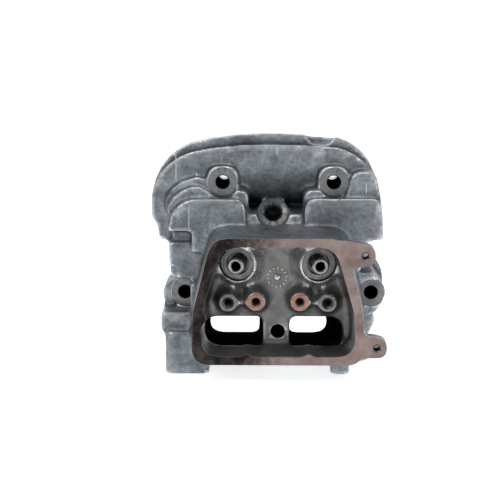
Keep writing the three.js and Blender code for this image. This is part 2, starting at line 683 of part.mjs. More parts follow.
function drillings() {
  const earBack = COVER_Y + COVER_EAR.depth + PAST;
  const { radius, depth } = FLANGE_STUD;
  return [
    ...pairedDrillings(-1),
    ...pairedDrillings(1),
    rod(WEB_BOLT, FLOOR_Y - PAST, DECK_Y + PAST, BOLT_RADIUS),
    rod(UPPER_EAR, COVER_Y - PAST, earBack, COVER_EAR.hole),
    rod(LOWER_EAR, COVER_Y - PAST, earBack, COVER_EAR.hole),
    rod(OIL_HOLE, FLOOR_Y - OIL_HOLE.depth, FLOOR_Y + OIL_HOLE.depth, OIL_HOLE.radius),
    plugRod(-PLUG_CLEARANCE, 0, PLUG.seatRadius),
    plugApproach(),
    plugRod(-PAST, PLUG_CLEARANCE, PLUG.radius),
    post(FOOT_BOSS, -PAST, FOOT_BOSS.depth, FOOT_BOSS.hole),
    ...EXHAUST_STUDS.map((stud) => post(stud, -PAST, EXHAUST_FLANGE.height + PAST, radius)),
    ...INTAKE_STUDS.map((dy) => post({ x: INTAKE_PORT.x, y: INTAKE_PORT.y + dy }, -PAST, depth, radius)),
  ];
}

function headCasting() {
  const finned = cut(joined([...fins(), ...core()]), [scoopAir()]).add(scoopWall()).add(plugLedge());
  const outside = joined([
    finned, ...portRoofs(), ...crescents(), ...boltColumns(), ...flanges(), ...rockerBoxBody(),
  ]);
  const hollow = outside.subtract(rockerCavity()).add(rockerBosses());
  return cut(hollow, [
    ...pushrodWells(), ...ports(), chamber(), ...valveCuts(INTAKE), ...valveCuts(EXHAUST),
    ...drillings(), finNotch(),
  ]);
}

// Pressed-in pieces --------------------------------------------------------------------
function ringOn(side, from, to, outer, inner) {
  return valveRod(side, from, to, outer).subtract(valveRod(side, from - PAST, to + PAST, inner));
}

function valveGuide({ side }) {
  return ringOn(side, stationOver(GUIDE_PROUD), -GUIDE_TO_SEAT, GUIDE_RADIUS, GUIDE_BORE);
}

// A ring with a cone on the chamber side for the valve's face.
function valveSeat({ side, seatRadius, throatRadius }) {
  const ring = ringOn(side, -SEAT_DEPTH, 0, seatRadius, throatRadius);
  const reach = SEAT_DEPTH / 2;
  const cone = valveRod(side, -reach, reach, throatRadius - 1, throatRadius + SEAT_DEPTH - 1);
  return ring.subtract(cone);
}

function locatingDowel(side) {
  const centre = { x: side * UPPER_BOLT.x, z: UPPER_BOLT.z };
  const front = DECK_Y - DOWEL_LENGTH + DOWEL_PROUD;
  const back = front + DOWEL_LENGTH;
  return rod(centre, front, back, DOWEL_RADIUS)
    .subtract(rod(centre, front - PAST, back + PAST, DOWEL_RADIUS - DOWEL_WALL));
}

const head = new THREE.Group();
head.add(
  meshOf('head_casting', headCasting(), 0x8d9296, 0.55, 0.9),
  meshOf('intake_valve_guide', valveGuide(INTAKE), 0xa6a6a2, 0.3, 1),
  meshOf('exhaust_valve_guide', valveGuide(EXHAUST), 0xa6a6a2, 0.3, 1),
  meshOf('intake_valve_seat', valveSeat(INTAKE), 0x77787a, 0.3, 1),
  meshOf('exhaust_valve_seat', valveSeat(EXHAUST), 0x6f7072, 0.3, 1),
  meshOf('locating_dowel_left', locatingDowel(-1), 0x9a9c9e, 0.3, 1),
  meshOf('locating_dowel_right', locatingDowel(1), 0x9a9c9e, 0.3, 1),
);

// The origin is under the middle of the head, on the plane of the port flanges.
const extent = new THREE.Box3().setFromObject(head);
const middle = extent.getCenter(new THREE.Vector3());
head.position.set(-middle.x, -middle.y, -extent.min.z);

export default head;
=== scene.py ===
"""Cylinder head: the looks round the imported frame. Sizes are in mm in the part's own axes,
with X = 0 between the valves, Y towards the deck and Z = 0 on the port flanges. They turn
into metres of the shared frame where a mesh is made, and materials, lights and camera are
in metres throughout."""
import math

import bpy
import bmesh
import numpy as np
import openvdb as vdb
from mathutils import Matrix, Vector


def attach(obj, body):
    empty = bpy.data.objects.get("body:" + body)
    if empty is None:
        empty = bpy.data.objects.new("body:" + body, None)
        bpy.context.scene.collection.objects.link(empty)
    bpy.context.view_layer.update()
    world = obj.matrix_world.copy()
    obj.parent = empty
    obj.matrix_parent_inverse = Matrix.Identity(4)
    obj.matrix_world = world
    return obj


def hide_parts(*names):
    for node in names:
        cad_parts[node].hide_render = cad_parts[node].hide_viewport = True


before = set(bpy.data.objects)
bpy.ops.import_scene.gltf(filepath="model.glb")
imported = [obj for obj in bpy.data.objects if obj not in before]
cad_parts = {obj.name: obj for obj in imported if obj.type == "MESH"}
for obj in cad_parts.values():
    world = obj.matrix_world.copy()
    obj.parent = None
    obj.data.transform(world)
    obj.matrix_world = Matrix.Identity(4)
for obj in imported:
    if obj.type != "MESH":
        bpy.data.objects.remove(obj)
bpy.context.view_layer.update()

# Sizes --------------------------------------------------------------------------------
SHIFT = np.array([6.05, -2.5, 0.0])          # from the part's axes to the shared frame
DECK_Y, COVER_Y, FLOOR_Y, BOSS_Y = 47.0, -47.0, -19.0, 0.0
VALVE_TILT = math.radians(8)
VALVE_X, VALVE_Y, VALVE_Z = 19.2, 33.0, 78.5
GUIDE_TIP, SPRING_RIM, SPRING_LAND, SPRING_WELL = 14.35, 7.9, 4.9, -0.5
GUIDE_END, GUIDE_RADIUS, GUIDE_BORE = 17.8, 5.6, 3.1
SPRING_RADIUS, WELL_RADIUS = 11.4, 7.4
SEATS = {-1: (18.0, 14.5), 1: (16.0, 12.7)}  # outer and inner radius
SEAT_DEPTH = 6.0
BOLT_RADIUS, BOLT_SEAT = 4.5, 10.2
UPPER_BOLT, SIDE_BOLT, WEB_BOLT = (38.0, 130.2), (64.4, 53.2), (0.0, 30.2)
DOWEL_RADIUS, DOWEL_FRONT, DOWEL_BACK, DOWEL_WALL = 6.5, 40.0, 52.0, 1.5
PLUG, PLUG_RADIUS, PLUG_SEAT = (-3.5, 15.0, 106.7), 6.25, 11.1
PLUG_LEAN = math.radians(28)
PLUG_BACK = ((-12, 34, 94.4), (6, 49, 100))  # the chamber's wall behind the plug
PAD, PAD_Y, PAD_RADIUS, PAD_HOLE = (14.8, 54.0), -33.0, 6.5, 2.7
STUD, STUD_Y, STUD_RADIUS, STUD_HOLE, STUD_DEPTH = (33.6, 52.7), -31.0, 6.2, 3.0, 16.0
EARS, EAR_HOLE, EAR_DEPTH = [(57.5, 88.6), (66.0, 26.0)], 2.5, 10.0
OIL_HOLE, OIL_RADIUS = (-38.0, 86.5), 2.7
FLANGE_STUDS = [                             # x, y and depth
    (-62.3, -10.0, 18), (-62.3, 32.0, 18), (34.7, 19.5, 9), (67.3, 34.5, 9), (42.8, -13.5, 12),
]
FLANGE_HOLE = 3.3
DIAL, DIAL_RADIUS, DIAL_MARKS = (-0.6, 68.0), 6.5, 14
PLUG_THREAD = (1.25, 0.6, 0.7)               # pitch, depth and chamfer of each thread
PAD_THREAD, STUD_THREAD = (1.0, 0.35, 0.5), (1.25, 0.45, 1.1)
EAR_THREAD, FLANGE_THREAD = (1.0, 0.4, 0.5), (1.25, 0.4, 0.6)
CONE_RADII, CONE_RISE, CONE_FRONT = (12, 17.5), 0.7, -28   # the slant round a spring pocket, which gets a painted highlight

VOXEL = 0.8
CLOSE, OPEN, BOX_FILLET = 1.6, 1.0, 3.4      # radii of inner and outer corners, and in the box
BAND = 6                                     # voxels of true distance on each side
PROUD = 0.5                                  # metal on a boss before it is faced
STOCK = 2                                    # metal on the outer planes before they are cut
ON_PLANE = 0.02                              # how near its plane a point of the CAD lies
WIDE, DEEP, TALL, BELOW = 130.0, 90, 200, -20   # past the casting on every side
BOX_HALF, BOX_BOTTOM, BOX_TOP = 53, 42, 97   # round the rocker box's inner walls
FLATTEN = 0.06                               # merges flat faces, to stay under 200,000
ALONG_Y, ALONG_Z = np.array([0.0, 1.0, 0.0]), np.array([0.0, 0.0, 1.0])
CAST, GASKET, MACHINED, COPPER, THREAD, BORE_SHADOW, POCKET, POLISHED = range(8)

# Where the casting's material changes and where shade and highlights are painted on it, in mm
# unless it says otherwise
SHADE_HALF, SHADE_BOTTOM, SHADE_TOP, SHADE_FADE = 51, 16, 96, 3.0
SHADE_BACK = -14                             # behind the rocker box's floor, along Y
# the pushrod wells, which are painted flat black as shadow
WELL_LEFT, WELL_RIGHT, WELL_TOP, WELL_FADE = -51.2, 45.4, 41, 5
WELL_START, WELL_LENGTH = -20, 68            # the pushrod wells slope down from this Y back
WELL_BOTTOM, WELL_DROP = 15.9, 5.2
WEB_HALF, WEB_BACK = 11, -17                 # the web bolt's boss, which isn't part of them
HOLLOW_CLOSE = 4.0                           # narrow hollows are filled by this radius, and get painted shade, darker with the depth below that
HOLLOW_SHALLOW, HOLLOW_DEEP = -0.3, -2.6     # and darken with the depth below that
HIGHLIGHT_FROM, HIGHLIGHT_SPAN = 0.1, 0.3              # bend in 1/mm over which edges take the painted highlight

# Colours that several materials share
SHADOW_BLACK = (0.008, 0.008, 0.009)                  # painted shadow: the flat black of bores and wells
DIRT, DIRTY = 0.35, 0.4                      # share of dirt, and how dark it is

# Stage, in metres
LIGHTS = [                                   # name, place, width and height, power
    ("key", (-0.55, -0.75, 0.75), (0.5, 0.35), 3.0),
    ("top", (0.05, -0.15, 0.95), (0.9, 0.5), 2.6),
    ("right", (0.8, -0.55, 0.35), (0.25, 0.7), 1.8),
]
LIT_POINT, GROUND_Z, GROUND_GLOW = (0, 0, 0.08), -0.0005, 0.7
WORLD_DARK, WORLD_BRIGHT = (0.115, 0.12, 0.13), (1.1, 1.1, 1.1)
VIEW_POINT, LENS = (-0.01325, -0.0025, 0.0828), 104.4
VIEW_AZIMUTH, VIEW_ELEVATION = math.radians(1), math.radians(12)


def valve_line(side):
    """Where a valve's axis meets the chamber's roof, and its direction towards the deck."""
    origin = np.array([side * VALVE_X, VALVE_Y, VALVE_Z])
    return origin, np.array([-side * math.sin(VALVE_TILT), math.cos(VALVE_TILT), 0.0])


def over_floor(height):
    """The station on a valve's axis that is this high over the rocker box's floor."""
    return (FLOOR_Y - height - VALVE_Y) / math.cos(VALVE_TILT)


PLUG_LINE = (np.array(PLUG), np.array([0.0, math.cos(PLUG_LEAN), -math.sin(PLUG_LEAN)]))


def at(point, y=0.0):
    """A point on the front view, taken to depth y."""
    return np.array([point[0], y, point[1]])


def both(point):
    """A point and its mirror image in X."""
    return [(-point[0], point[1]), tuple(point)]


# Meshes from arrays -------------------------------------------------------------------
def lathe(profile, origin, axis, sides=64, loop=False):
    """A closed solid turned round an axis, from (station, radius) points."""
    axis = np.asarray(axis, float)
    side = np.cross(axis, [0, 0, 1.0] if abs(axis[2]) < 0.9 else [1.0, 0, 0])
    side /= np.linalg.norm(side)
    up = np.cross(axis, side)
    turn = np.linspace(0, 2 * math.pi, sides, endpoint=False)
    points, rings, faces = [], [], []
    for station, radius in profile:
        centre = np.asarray(origin) + axis * station
        if radius < 1e-6:
            rings.append([len(points)] * sides)
            points.append(centre)
        else:
            rings.append(list(range(len(points), len(points) + sides)))
            points += [centre + radius * (math.cos(t) * side + math.sin(t) * up) for t in turn]
    pairs = list(zip(rings, rings[1:])) + ([(rings[-1], rings[0])] if loop else [])
    for a, b in pairs:
        for i in range(sides):
            j = (i + 1) % sides
            corners = dict.fromkeys([a[i], a[j], b[j], b[i]])
            if len(corners) > 2:
                faces.append(list(corners))
    return points, faces


def box_solid(low, high):
    """A closed box between two corners."""
    (x0, y0, z0), (x1, y1, z1) = low, high
    points = [(x, y, z) for x in (x0, x1) for y in (y0, y1) for z in (z0, z1)]
    faces = [(0, 1, 3, 2), (4, 6, 7, 5), (0, 4, 5, 1), (2, 3, 7, 6), (0, 2, 6, 4), (1, 5, 7, 3)]
    return [np.array(p, float) for p in points], [list(f) for f in faces]


def plain_rod(origin, axis, start, end, radius, chamfer=0.0, sides=64):
    """A rod for cutting. Its start lies in the air, and chamfer widens it at station 0."""
    profile = [(start, 0), (start, radius + chamfer)] if chamfer else [(start, 0), (start, radius)]
    if chamfer:
        profile += [(0.0, radius + chamfer), (chamfer, radius)]
    profile += [(end, radius), (end, 0)]
    return lathe(profile, origin, axis, sides)


def threaded(origin, axis, end, radius, pitch, depth, chamfer, sides=64):
    """A tapped hole's cutter: grooves instead of a helix."""
    profile = [(-3.0, 0), (-3.0, radius + chamfer), (0.0, radius + chamfer)]
    station = chamfer + 0.25 * pitch
    while station + pitch < end:
        profile += [(station, radius - depth), (station + 0.5 * pitch, radius)]
        station += pitch
    profile += [(station, radius - depth), (end, radius - depth), (end, 0)]
    return lathe(profile, origin, axis, sides)


def mesh_object(name, parts, materials):
    """parts: (points, faces, material) in mm; makes one object in metres of the frame."""
    mesh = bpy.data.meshes.new(name)
    points, faces, slots = [], [], []
    for part_points, part_faces, slot in parts:
        base = len(points)
        points += [tuple((np.asarray(p) + SHIFT) / 1000) for p in part_points]
        faces += [[base + i for i in face] for face in part_faces]
        slots += [slot] * len(part_faces)
    mesh.from_pydata(points, [], faces)
    for material in materials:
        mesh.materials.append(material)
    mesh.polygons.foreach_set("material_index", slots)
    tidy_normals = bmesh.new()
    tidy_normals.from_mesh(mesh)
    bmesh.ops.recalc_face_normals(tidy_normals, faces=tidy_normals.faces)
    tidy_normals.to_mesh(mesh)
    tidy_normals.free()
    made = bpy.data.objects.new(name, mesh)
    bpy.context.scene.collection.objects.link(made)
    return made


# Distance fields ----------------------------------------------------------------------
TRANSFORM = vdb.createLinearTransform(voxelSize=VOXEL)
ORIGIN = np.array([-114, -74, -12])          # lowest voxel of the working block
SHAPE = (224, 148, 232)


def level(points, triangles, quads=()):
    """The distance field round a closed mesh."""
    shapes = {}
    if len(triangles):
        shapes["triangles"] = np.asarray(triangles, np.uint32)
    if len(quads):
        shapes["quads"] = np.asarray(quads, np.uint32)
    points = np.asarray(points, np.float32)
    return vdb.FloatGrid.createLevelSetFromPolygons(
        points, transform=TRANSFORM, halfWidth=BAND, **shapes)


def moved(grid, distance):
    """The surface moved outwards by that distance, with true distances round it."""
    return level(*grid.convertToPolygons(isovalue=distance, adaptivity=0.0))


def closed_by(grid, radius):
    """The solid with its inner corners rounded and its narrow gaps filled."""
    return moved(moved(grid, radius), -radius)


def opened_by(grid, radius):
    """The solid with its outer corners rounded."""
    return moved(moved(grid, -radius), radius)


def block_of(grid):
    """The field as an array over the working block."""
    values = np.full(SHAPE, BAND * VOXEL, np.float32)
    grid.copyToArray(values, ijk=tuple(int(v) for v in ORIGIN))
    return values


def grid_of(values):
    """The field of such an array."""
    grid = vdb.FloatGrid(BAND * VOXEL)
    grid.transform = TRANSFORM
    grid.copyFromArray(values, ijk=tuple(int(v) for v in ORIGIN))
    return grid


def add_rod(values, origin, axis, start, end, radius):
    """Joins a rod to the field."""
    origin, axis = np.asarray(origin, float), np.asarray(axis, float)
    ends = np.array([origin + axis * start, origin + axis * end])
    reach = radius + BAND * VOXEL
    low = np.maximum(np.floor((ends.min(0) - reach) / VOXEL).astype(int) - ORIGIN, 0)
    high = np.minimum(np.ceil((ends.max(0) + reach) / VOXEL).astype(int) - ORIGIN + 1, SHAPE)
    axes = [(np.arange(low[i], high[i]) + ORIGIN[i]) * VOXEL - origin[i] for i in range(3)]
    x, y, z = np.meshgrid(*axes, indexing="ij")
    station = x * axis[0] + y * axis[1] + z * axis[2]
    across = np.sqrt(np.maximum(x * x + y * y + z * z - station * station, 0))
    rod = np.maximum(np.maximum(across - radius, start - station), station - end)
    part = tuple(slice(low[i], high[i]) for i in range(3))
    values[part] = np.minimum(values[part], rod)


def add_block(values, low, high):
    """Joins a box to the field."""
    low, high = np.asarray(low, float), np.asarray(high, float)
    first = np.maximum(np.floor(low / VOXEL).astype(int) - BAND - ORIGIN, 0)
    last = np.minimum(np.ceil(high / VOXEL).astype(int) + BAND - ORIGIN + 1, SHAPE)
    axes = [(np.arange(first[i], last[i]) + ORIGIN[i]) * VOXEL for i in range(3)]
    middle, half = (low + high) / 2, (high - low) / 2
    sides = [np.abs(cells - middle[i]) - half[i] for i, cells in enumerate(axes)]
    x, y, z = np.meshgrid(*sides, indexing="ij")
    part = tuple(slice(first[i], last[i]) for i in range(3))
    values[part] = np.minimum(values[part], np.maximum(np.maximum(x, y), z))


def casting_fields():
    """The CAD casting before machining, with its corners rounded, and the same with its
    hollows filled."""
    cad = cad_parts["head_casting"].data
    points = np.empty(len(cad.vertices) * 3, np.float32)
    cad.vertices.foreach_get("co", points)
    points = points.reshape(-1, 3) * 1000 - SHIFT
    cad.calc_loop_triangles()
    triangles = np.empty(len(cad.loop_triangles) * 3, np.int32)
    cad.loop_triangles.foreach_get("vertices", triangles)
    for axis, plane, stock in ((1, COVER_Y, -STOCK), (1, DECK_Y, STOCK), (2, 0, -STOCK)):
        points[np.abs(points[:, axis] - plane) < ON_PLANE, axis] += stock
    keys = np.round(points, 3)
    unique, inverse = np.unique(keys, axis=0, return_inverse=True)
    triangles = inverse.reshape(-1)[triangles].reshape(-1, 3)
    values = block_of(level(unique, triangles))
    for point in both(UPPER_BOLT) + both(SIDE_BOLT):
        add_rod(values, at(point), ALONG_Y, -PROUD, 3, BOLT_SEAT)
        add_rod(values, at(point), ALONG_Y, -PROUD, DECK_Y + STOCK, BOLT_RADIUS + 0.8)
    for point in both(UPPER_BOLT):
        add_rod(values, at(point), ALONG_Y, DOWEL_FRONT - 2, DECK_Y + STOCK, DOWEL_RADIUS + 1)
    add_rod(values, at(WEB_BOLT), ALONG_Y, FLOOR_Y, DECK_Y + STOCK, BOLT_RADIUS + 0.8)
    for point in both(PAD):
        add_rod(values, at(point), ALONG_Y, PAD_Y - PROUD, PAD_Y + STUD_DEPTH + 1, PAD_RADIUS)
    for point in both(STUD):
        add_rod(values, at(point), ALONG_Y, STUD_Y - PROUD, STUD_Y + STUD_DEPTH + 1, STUD_RADIUS)
    for point in EARS:
        add_rod(values, at(point), ALONG_Y, COVER_Y - STOCK, COVER_Y + EAR_DEPTH, EAR_HOLE + 1)
    for x, y, depth in FLANGE_STUDS:
        add_rod(values, (x, y, 0), ALONG_Z, -STOCK, depth + 1, FLANGE_HOLE + 1)
    for side in (-1, 1):
        line = valve_line(side)
        add_rod(values, *line, over_floor(SPRING_RIM), over_floor(0) + 2, SPRING_RADIUS + 0.4)
        add_rod(values, *line, over_floor(0), -GUIDE_END + 1, GUIDE_RADIUS + 1)
    add_rod(values, *PLUG_LINE, -PROUD, 3, PLUG_SEAT - 0.9)
    add_rod(values, *PLUG_LINE, -PROUD, 17, PLUG_RADIUS + 1)
    add_block(values, *PLUG_BACK)
    raw = grid_of(values)
    rounded = block_of(closed_by(raw, CLOSE))
    wide = closed_by(raw, BOX_FILLET)
    x, y, z = [(np.arange(SHAPE[i]) + ORIGIN[i]) * VOXEL for i in range(3)]
    inside = (np.abs(x) < BOX_HALF)[:, None, None]
    inside = inside & ((y > COVER_Y + 4) & (y < FLOOR_Y + 4))[None, :, None]
    inside = inside & ((z > BOX_BOTTOM) & (z < BOX_TOP))[None, None, :]
    rounded = np.where(inside, np.minimum(rounded, block_of(wide)), rounded)
    solid = opened_by(grid_of(rounded), OPEN)
    return solid, closed_by(raw, HOLLOW_CLOSE)


def carve(target, cutters, name, operation="DIFFERENCE"):
    """Cuts solids that don't meet each other out of the target, or joins them to it."""
    tool = mesh_object(name, cutters, list(target.data.materials))
    cut = target.modifiers.new(name, "BOOLEAN")
    cut.operation = operation
    cut.solver = "MANIFOLD"
    cut.object = tool
    graph = bpy.context.evaluated_depsgraph_get()
    result = bpy.data.meshes.new_from_object(target.evaluated_get(graph))
    target.modifiers.clear()
    target.data = result
    bpy.data.objects.remove(tool)


def machining():
    """Groups of cutters. Those in one group don't meet each other."""
    faces = [
        (*box_solid((-WIDE, -DEEP, BELOW), (WIDE, COVER_Y, TALL)), GASKET),
        (*box_solid((-WIDE, DECK_Y, BELOW), (WIDE, DEEP, TALL)), MACHINED),
    ]
    bottom = [(*box_solid((-WIDE, -60, BELOW - 10), (WIDE, 60, 0)), MACHINED)]
    seats, holes, deck = [], [], []
    for point in both(UPPER_BOLT) + both(SIDE_BOLT):
        seats.append((*plain_rod(at(point), ALONG_Y, -12, BOSS_Y, BOLT_SEAT), MACHINED))
        holes.append((*plain_rod(at(point), ALONG_Y, -2, DECK_Y + STOCK, BOLT_RADIUS, 0.5), BORE_SHADOW))
    for point in both(UPPER_BOLT):
        ends = DOWEL_FRONT - 0.2, DECK_Y + 3
        deck.append((*plain_rod(at(point), ALONG_Y, *ends, DOWEL_RADIUS + 0.15), MACHINED))
    ends = -2, DECK_Y - FLOOR_Y + STOCK
    web = [(*plain_rod(at(WEB_BOLT, FLOOR_Y), ALONG_Y, *ends, BOLT_RADIUS, 0.5), BORE_SHADOW)]
    for point in both(PAD):
        seats.append((*plain_rod(at(point, PAD_Y), ALONG_Y, -4, 0, PAD_RADIUS + 1), COPPER))
        hole = threaded(at(point, PAD_Y), ALONG_Y, STUD_DEPTH, PAD_HOLE + 0.1, *PAD_THREAD)
        holes.append((*hole, THREAD))
    for point in both(STUD):
        seats.append((*plain_rod(at(point, STUD_Y), ALONG_Y, -4, 0, STUD_RADIUS + 1), MACHINED))
        hole = threaded(at(point, STUD_Y), ALONG_Y, STUD_DEPTH, STUD_HOLE, *STUD_THREAD)
        holes.append((*hole, THREAD))
    for point in EARS:
        hole = threaded(at(point, COVER_Y), ALONG_Y, EAR_DEPTH + 3, EAR_HOLE, *EAR_THREAD)
        holes.append((*hole, THREAD))
    for x, y, depth in FLANGE_STUDS:
        deck.append((*threaded((x, y, 0), ALONG_Z, depth, FLANGE_HOLE, *FLANGE_THREAD), THREAD))
    holes.append((*plain_rod(at(OIL_HOLE, FLOOR_Y - 8), ALONG_Y, 0, 16, OIL_RADIUS), BORE_SHADOW))
    wells, guides, chamber = [], [], []
    for side in (-1, 1):
        line = valve_line(side)
        rim, land, well = map(over_floor, (SPRING_RIM, SPRING_LAND, SPRING_WELL))
        profile = [
            (rim - 2, 0), (rim - 2, SPRING_RADIUS + 0.7), (rim, SPRING_RADIUS + 0.5),
            (rim + 0.7, SPRING_RADIUS), (land, SPRING_RADIUS), (land, WELL_RADIUS + 0.3),
            (land + 0.3, WELL_RADIUS), (well, WELL_RADIUS), (well, 0),
        ]
        wells.append((*lathe(profile, *line), POCKET))
        guides.append((*plain_rod(*line, well - 1, 2 - GUIDE_END, GUIDE_RADIUS + 0.15), BORE_SHADOW))
        radius = SEATS[side][0]
        chamber.append((*plain_rod(*line, -SEAT_DEPTH - 0.2, 16, radius + 0.15), MACHINED))
    plug_seat = [(*plain_rod(*PLUG_LINE, -30, 0, PLUG_SEAT - 0.3), MACHINED)]
    plug_hole = [(*threaded(*PLUG_LINE, 23, PLUG_RADIUS + 0.1, *PLUG_THREAD), THREAD)]
    holes += web + plug_hole
    return [faces, bottom, seats + plug_seat, wells, holes, guides, deck, chamber[:1], chamber[1:]]


# Materials ----------------------------------------------------------------------------
def material(name, color, metallic, roughness):
    """A new material, its node tree and its main shader."""
    made = bpy.data.materials.new(name)
    made.use_nodes = True
    tree = made.node_tree
    shader = tree.nodes["Principled BSDF"]
    shader.inputs["Base Color"].default_value = (*color, 1)
    shader.inputs["Metallic"].default_value = metallic
    shader.inputs["Roughness"].default_value = roughness
    return made, tree, shader


def node(tree, kind, values=None, **settings):
    """A new node with its settings, and its inputs given as numbers or as sockets."""
    made = tree.nodes.new(kind)
    for name, value in settings.items():
        setattr(made, name, value)
    for key, value in (values or {}).items():
        if isinstance(value, bpy.types.NodeSocket):
            tree.links.new(value, made.inputs[key])
        else:
            made.inputs[key].default_value = value
    return made


def noise(tree, where, scale, detail=4.0, rough=0.6):
    made = node(tree, "ShaderNodeTexNoise", {
        "Vector": where, "Scale": scale, "Detail": detail, "Roughness": rough, "Distortion": 0.0})
    return made.outputs["Fac"]


def spread(tree, value, low, high, out_low=0.0, out_high=1.0):
    """The value mapped from low..high to out_low..out_high, and held inside that."""
    made = node(tree, "ShaderNodeMapRange", {
        "Value": value, "From Min": low, "From Max": high, "To Min": out_low, "To Max": out_high})
    return made.outputs["Result"]


def maths(tree, operation, a, b=0.0):
    return node(tree, "ShaderNodeMath", {0: a, 1: b}, operation=operation).outputs[0]


def mixed(tree, share, a, b):
    """Colour a turning into colour b. The node has a socket of each name for every data type."""
    made = node(tree, "ShaderNodeMix", data_type="RGBA", blend_type="MIX")
    for socket, value in (("Factor", share), ("A", a), ("B", b)):
        kind = "VALUE" if socket == "Factor" else "RGBA"
        spot = next(s for s in made.inputs if s.name == socket and s.type == kind)
        if isinstance(value, bpy.types.NodeSocket):
            tree.links.new(value, spot)
        else:
            spot.default_value = value if socket == "Factor" else (*value, 1)
    return next(s for s in made.outputs if s.type == "RGBA")


def grainy(tree, shader, where, height, scales):
    """A bump of several noises, each with a scale and a weight, height in metres."""
    total = None
    for scale, weight in scales:
        part = maths(tree, "MULTIPLY", noise(tree, where, scale), weight)
        total = part if total is None else maths(tree, "ADD", total, part)
    bump = node(tree, "ShaderNodeBump", {"Height": total, "Distance": height, "Strength": 1.0})
    tree.links.new(bump.outputs["Normal"], shader.inputs["Normal"])


def cast_aluminium():
    """Grey rough casting: brownish in the box, with painted shade in hollows, painted shadow (flat
    black) in the pushrod wells, and painted highlights on edges and round the spring pockets."""
    made, tree, shader = material("cast_aluminium", (0.3, 0.31, 0.33), 0.85, 0.4)
    where = node(tree, "ShaderNodeTexCoord").outputs["Object"]
    hollow_shade, edge, inside, well, cone_highlight = [
        node(tree, "ShaderNodeAttribute", attribute_name=name).outputs["Fac"]
        for name in ("hollow_shade", "edge", "inside", "well", "cone_highlight")]
    patches = spread(tree, noise(tree, where, 55, 6, 0.65), 0.35, 0.68)
    color = mixed(tree, patches, (0.14, 0.157, 0.171), (0.36, 0.392, 0.417))
    specks = spread(tree, noise(tree, where, 420, 5, 0.7), 0.44, 0.62)
    color = mixed(tree, maths(tree, "MULTIPLY", specks, 0.45), color, (0.07, 0.077, 0.083))
    brown = spread(tree, noise(tree, where, 90, 3), 0.45, 0.7)
    color = mixed(tree, maths(tree, "MULTIPLY", inside, 0.7), color, (0.17, 0.17, 0.155))
    brown = maths(tree, "MULTIPLY", maths(tree, "MULTIPLY", inside, brown), 0.4)
    color = mixed(tree, brown, color, (0.15, 0.105, 0.08))
    # painted shade: the colour darkens to near black in narrow hollows, deeper ones more
    color = mixed(tree, maths(tree, "MULTIPLY", hollow_shade, 0.62), color, (0.02, 0.02, 0.021))
    # painted highlight: paler on edges that bend outwards
    color = mixed(tree, maths(tree, "MULTIPLY", edge, 0.8), color, (0.7, 0.72, 0.74))
    # painted highlight: paler on the slanted rims round the spring pockets
    color = mixed(tree, maths(tree, "MULTIPLY", cone_highlight, 0.55), color, (0.5, 0.52, 0.51))
    # painted shadow: the pushrod wells turn flat black with no shine
    color = mixed(tree, well, color, SHADOW_BLACK)
    tree.links.new(spread(tree, well, 0, 1, 0.85, 0.0), shader.inputs["Metallic"])
    tree.links.new(spread(tree, well, 0, 1, 0.5, 0.0), shader.inputs["Specular IOR Level"])
    tree.links.new(color, shader.inputs["Base Color"])
    rough = spread(tree, noise(tree, where, 130, 5), 0.3, 0.7, 0.34, 0.56)
    polish = maths(tree, "MULTIPLY", maths(tree, "MAXIMUM", edge, cone_highlight), 0.16)
    rough = maths(tree, "SUBTRACT", rough, polish)
    tree.links.new(maths(tree, "MAXIMUM", rough, well), shader.inputs["Roughness"])
    grainy(tree, shader, where, 0.0003, ((260, 1.0), (900, 0.8)))
    return made


def gasket_face():
    """The rim under the cover, brown metal with a black stain on the left that ends raggedly."""
    made, tree, shader = material("gasket_face", (0.42, 0.34, 0.32), 0.75, 0.38)
    where = node(tree, "ShaderNodeTexCoord").outputs["Object"]
    place = node(tree, "ShaderNodeSeparateXYZ", {0: where})
    ragged = spread(tree, noise(tree, where, 240, 6, 0.7), 0.3, 0.7, -0.012, 0.012)
    left = spread(tree, maths(tree, "ADD", place.outputs[0], ragged), 0.012, -0.02)
    blot = spread(tree, noise(tree, where, 150, 5, 0.7), 0.38, 0.6)
    blotchy = maths(tree, "ADD", maths(tree, "MULTIPLY", blot, 0.2), 0.8)
    stain = maths(tree, "MULTIPLY", left, blotchy)
    tone = spread(tree, noise(tree, where, 70, 4), 0.35, 0.65)
    color = mixed(tree, tone, (0.16, 0.112, 0.1), (0.27, 0.213, 0.197))
    color = mixed(tree, stain, color, (0.006, 0.004, 0.005))
    tree.links.new(color, shader.inputs["Base Color"])
    tree.links.new(spread(tree, stain, 0, 1, 0.34, 0.62), shader.inputs["Roughness"])
    grainy(tree, shader, where, 0.00008, ((900, 1.0), (2600, 0.6)))
    return made


def turned_metal(name, color, roughness, metallic=0.95):
    """Machined metal with darker spots of dirt on it."""
    made, tree, shader = material(name, color, metallic, roughness)
    where = node(tree, "ShaderNodeTexCoord").outputs["Object"]
    blot = spread(tree, noise(tree, where, 240, 5, 0.65), 0.42, 0.68)
    dark = tuple(DIRTY * c for c in color)
    stained = mixed(tree, maths(tree, "MULTIPLY", blot, DIRT), color, dark)
    tree.links.new(stained, shader.inputs["Base Color"])
    rougher = spread(tree, blot, 0, 1, roughness, roughness + 0.15)
    tree.links.new(rougher, shader.inputs["Roughness"])
    grainy(tree, shader, where, 0.00005, ((1400, 1.0), (3500, 0.6)))
    return made


def shadow(name):
    """Painted shadow: a flat black with no shine for the inside of a deep hole."""
    made, _, shader = material(name, SHADOW_BLACK, 0.0, 1.0)
    shader.inputs["Specular IOR Level"].default_value = 0.0
    return made


# Pieces -------------------------------------------------------------------------------
def smooth(thing, angle=38):
    """Smooth shading with sharp creases."""
    mesh = thing.data
    mesh.shade_smooth()
    mesh.set_sharp_from_angle(angle=math.radians(angle))


